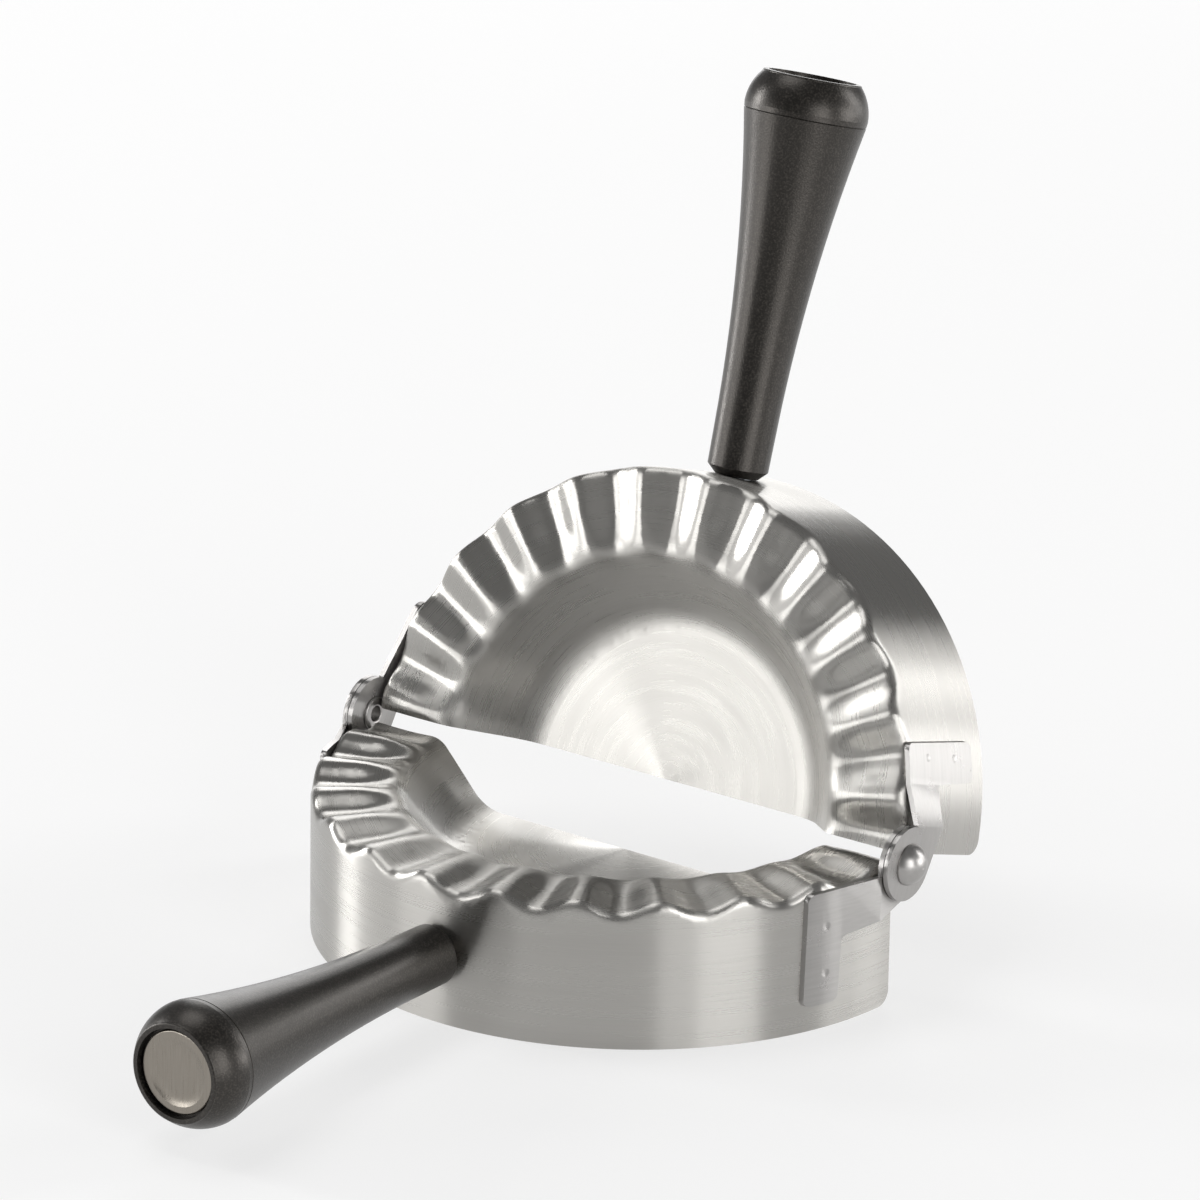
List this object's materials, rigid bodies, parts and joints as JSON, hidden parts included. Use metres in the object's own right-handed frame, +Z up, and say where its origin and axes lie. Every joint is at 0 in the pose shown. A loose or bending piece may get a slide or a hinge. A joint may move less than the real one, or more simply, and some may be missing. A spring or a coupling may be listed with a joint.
{
  "type": "ravioli mold",
  "caption": "Hinged half-moon ravioli mold of pressed steel with fluted rims, cutting skirts, riveted hinge brackets and flared black handles, standing part open.",
  "frame": {"origin": "on the surface that the lower half stands on, below the middle of the whole part in the pictured opening", "axes": "+Z up, +X along the hinge axis, -Y from the hinge towards the lower handle"},
  "size_m": [0.1322, 0.2008, 0.1562],
  "materials": {
    "shell_steel": "pressed stainless sheet, finely brushed round the skirt",
    "bracket_steel": "stamped stainless strip, satin",
    "rivet_steel": "bright hollow rivet with a polished dome",
    "disc_steel": "brushed stainless disc with a shallow dished middle",
    "fixing_steel": "plain bright steel, hidden in the handle",
    "handle_plastic": "black moulded plastic, satin with a fine grain"
  },
  "bodies": {
    "lower_half": {"lower_shell": "shell_steel", "lower_right_hinge_bracket": "bracket_steel", "lower_left_hinge_bracket": "bracket_steel", "lower_grip": "handle_plastic", "lower_end_collar": "handle_plastic", "lower_end_disc": "disc_steel", "lower_handle_stud": "fixing_steel", "lower_handle_washer": "fixing_steel", "lower_handle_nut": "fixing_steel", "hinge_rivet_right": "rivet_steel", "hinge_rivet_left": "rivet_steel"},
    "upper_half": {"upper_shell": "shell_steel", "upper_right_hinge_bracket": "bracket_steel", "upper_left_hinge_bracket": "bracket_steel", "upper_grip": "handle_plastic", "upper_end_collar": "handle_plastic", "upper_end_disc": "disc_steel", "upper_handle_stud": "fixing_steel", "upper_handle_washer": "fixing_steel", "upper_handle_nut": "fixing_steel"}
  },
  "joints": [
    {"name": "mould_hinge", "type": "hinge", "parent": "lower_half", "child": "upper_half", "pos_m": [0, 0.03633, 0.0278], "axis": [1, 0, 0], "range_deg": [-71.6, 108.4]}
  ]
}
